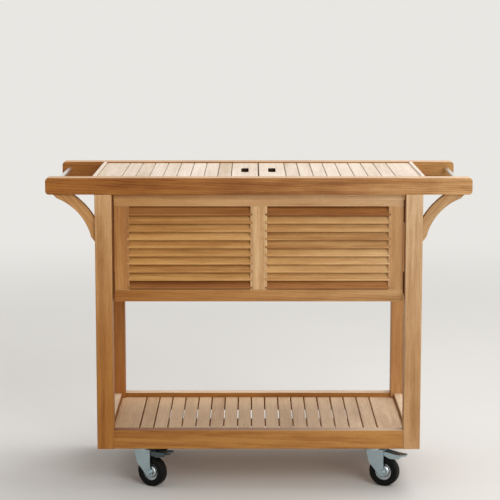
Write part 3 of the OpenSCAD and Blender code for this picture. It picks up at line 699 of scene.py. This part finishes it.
def dress_top():
    front, rear = "top_rail_front", "top_rail_rear"
    dress(teak("rail_front", RAIL, "x", seed=31, middle=middle_of(front, "z", "y"),
               ends=RIGHT_HALF, top=RAIL_TOP, bold=1.8, lean=0.05), front)
    dress(teak("rail_rear", REAR_RAIL, "x", seed=37, middle=middle_of(rear, "z", "y"),
               top=RAIL_TOP, bold=1.5), rear)
    for count, side in enumerate(("left", "right")):
        apron = "end_apron_" + side
        # The apron's inner step above the board gets the pale top tone as painted light.
        dress_teak(apron, PANEL, "y", seed=41 + count, middle=middle_of(apron, "x", "z"),
                   top=BOARD_TOP, patches=[(apron_lip(apron), BOARD_TOP)])
        fixed = "end_board_" + side
        dress_teak(fixed, BOARD_TOP, "y", seed=45 + count, middle=middle_of(fixed, "x", "z"),
                   spread=0.2, pale=True)
        boards = "lid_" + side + "_boards"
        low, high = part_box(boards)
        outer = max(abs(low.x), abs(high.x))
        # The walls of the hand slots get painted shade.
        dress_teak(boards, BOARD_TOP, "y", seed=51 + count, board=lid_rows(outer),
                   middle=(0.0, (low.z + high.z) / 2), pale=True,
                   patches=[(slots(boards), SLOT_SHADE)])
    battens = teak("battens", INNER, "x", seed=55, board=pairs("y"))
    dress(battens, "lid_left_battens", "lid_right_battens")
    dress(teak("cross_rails", INNER, "y", seed=57, board=pairs("x")), "top_cross_rails")
    dress(teak("ledgers", INNER, "x", seed=59, board=pairs("y")), "top_ledgers")


def dress_box():
    for count, side in enumerate(("front", "rear")):
        panel = side + "_panel_frame"
        low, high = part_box(panel)
        levels = low.z + PANEL_LOW_H, high.z - PANEL_TOP_H
        dress_teak(panel, PANEL, panel_grain(*levels), seed=61 + 10 * count,
                   board=panel_boards(*levels), spread=0.2, patches=panel_patches(*levels))
        blades = side + "_louvres"
        # The top and lowest blades of each side get painted shade.
        dress_teak(blades, BLADE, "x", seed=81 + 10 * count, board=blade_rows(blades), spread=0.5,
                   wear=0.3, patches=[(blade_shade_mask(blades), BLADE_SHADE)])
    for count, side in enumerate(("left", "right")):
        wall = "side_panel_" + side
        dress_teak(wall, PANEL, "y", seed=101 + 10 * count, board=level_rows(wall, SIDE_BOARDS))
    dress(teak("bearers", INNER, "y", seed=121, board=pairs("x")), "tub_bearers")
    dress(teak("pads", INNER, "z", seed=123, board=pairs("x")), "box_pads")


def dress_shelf():
    for count, (side, top) in enumerate((("front", SHELF_TOP), ("rear", SHELF_SIDE_TOP))):
        rail = "shelf_rail_" + side
        dress_teak(rail, SHELF_RAIL, "x", seed=131 + count, middle=middle_of(rail, "z", "y"),
                   top=top, bold=1.5)
    for count, side in enumerate(("left", "right")):
        rail = "shelf_rail_" + side
        dress_teak(rail, SHELF_RAIL, "y", seed=135 + count, middle=middle_of(rail, "x", "z"),
                   top=SHELF_SIDE_TOP)
    deep = middle_of("shelf_boards", "z")[0]
    dress_teak("shelf_boards", SHELF_BOARD, "y", seed=141, board=shelf_rows(), middle=(0.0, deep),
               pale=True)
    dress_teak("shelf_ledgers", INNER, "x", seed=143, board=pairs("y"))
    dress_teak("caster_bearers", INNER, "y", seed=145, board=pairs("x"))


def dress_metal():
    bars = metal("satin_steel_bar", SUNLIT_STEEL, 0.28, brush=(BRUSH, 60.0, BRUSH), uneven=0.05,
                 mottle=10.0)
    dress(bars, "push_bar_left", "push_bar_right")
    dress(metal("brushed_tub", STEEL, 0.3, brush=(30.0, 1200.0, 1200.0), mottle=10.0), "tub")
    dress(metal("drain_steel", STEEL, 0.22), "drain_body")
    dress(metal("zinc_nut", ZINC, 0.35), "drain_nut", "caster_bolts")
    dress(rubber("stopper_rubber", BLACK), "drain_stopper")
    plated = metal("zinc_plate", ZINC, 0.42, uneven=0.25)
    bright = metal("zinc_rim", BRIGHT_ZINC, 0.26, uneven=0.15)
    axles = {joint["child"]: joint["axis"] for joint in frame["joints"]}
    for place in ("front_left", "front_right", "rear_left", "rear_right"):
        caster = "caster_" + place
        dress(plated, caster + "_plate", caster + "_fork")
        dress(bright, caster + "_rim")
        axle = tuple(axles["wheel_" + place])
        dress(rubber(caster + "_rubber", TYRE, axle), caster + "_tyre")
    # The left pedal gets a darker copy of the zinc: painted shade.
    dress(metal("painted_shade_zinc", SHADED_ZINC, 0.45), "caster_front_left_pedal")
    dress(plated, "caster_front_right_pedal")


def make_floor():
    """Pale floor. Far from the cart it is seen as the backdrop, so that no horizon shows."""
    n = Nodes("floor")
    cloud = n.noise(n.place(), scale=FLOOR_CLOUD, detail=FLOOR_DETAIL)
    tint = n.blend(cloud, *[linear(tone) for tone in FLOOR_TONES])
    material = n.finish(Base_Color=tint, Roughness=FLOOR_ROUGH, Specular_IOR_Level=FLOOR_GLOSS)
    away = n.vector("LENGTH", n.place(), output="Value")
    span = {"Value": away, "From Min": FADE_START, "From Max": FADE_END}
    fade = n.add("MapRange", span, interpolation_type="SMOOTHSTEP").outputs["Result"]
    path = n.add("LightPath").outputs
    looked = n.math("MAXIMUM", path["Is Camera Ray"], path["Is Glossy Ray"])
    glow = n.add("Emission", {"Color": linear(BACKDROP)})
    mix = n.add("MixShader", {"Fac": n.times(fade, looked)})
    surface = n.tree.nodes["Material Output"].inputs["Surface"]
    n.put(mix.inputs[1], surface.links[0].from_socket)
    n.put(mix.inputs[2], glow.outputs[0])
    n.put(surface, mix.outputs[0])
    bpy.ops.mesh.primitive_plane_add(size=FLOOR_SIZE, location=(0, 0, 0))
    floor = bpy.context.object
    floor.name = "floor"
    floor.data.materials.append(material)


def make_world():
    """Even light, with a pale sky where the camera, a gloss or a glass looks at it."""
    world = bpy.data.worlds.new("studio")
    bpy.context.scene.world = world
    world.use_nodes = True
    tree = world.node_tree
    tree.nodes.clear()

    def larger(first, second):
        node = tree.nodes.new("ShaderNodeMath")
        node.operation = "MAXIMUM"
        tree.links.new(first, node.inputs[0])
        tree.links.new(second, node.inputs[1])
        return node.outputs[0]

    def light(colour, strength=1.0):
        node = tree.nodes.new("ShaderNodeBackground")
        node.inputs["Color"].default_value = colour
        node.inputs["Strength"].default_value = strength
        return node.outputs[0]

    path = tree.nodes.new("ShaderNodeLightPath").outputs
    shiny = larger(path["Is Glossy Ray"], path["Is Transmission Ray"])
    mix = tree.nodes.new("ShaderNodeMixShader")
    tree.links.new(larger(path["Is Camera Ray"], shiny), mix.inputs[0])
    tree.links.new(light(DAYLIGHT, DAYLIGHT_STRENGTH), mix.inputs[1])
    tree.links.new(light(linear(BACKDROP)), mix.inputs[2])
    output = tree.nodes.new("ShaderNodeOutputWorld")
    tree.links.new(mix.outputs[0], output.inputs["Surface"])


def make_lamp(name, place, power, size):
    """Square lamp that shines on the cart's middle."""
    data = bpy.data.lights.new(name, "AREA")
    data.energy = power
    data.size = size
    lamp = bpy.data.objects.new(name, data)
    bpy.context.scene.collection.objects.link(lamp)
    lamp.location = place
    way = Vector(LAMP_TARGET) - Vector(place)
    lamp.rotation_euler = way.to_track_quat("-Z", "Y").to_euler()


def make_camera():
    data = bpy.data.cameras.new("camera")
    data.lens = LENS
    data.sensor_width = SENSOR_W
    data.clip_end = CLIP_END
    camera = bpy.data.objects.new("camera", data)
    bpy.context.scene.collection.objects.link(camera)
    camera.location = CAMERA_PLACE
    camera.rotation_euler = (CAMERA_TILT, 0.0, 0.0)
    bpy.context.scene.camera = camera


make_camera()
dress_legs()
dress_top()
dress_box()
dress_shelf()
dress_metal()
make_floor()
make_world()
make_lamp("overhead", place=(1.2, 0.8, 4.0), power=82.0, size=2.5)
make_lamp("front", place=(2.2, -4.6, 2.6), power=125.0, size=3.0)
bpy.context.scene.view_settings.view_transform = "Standard"
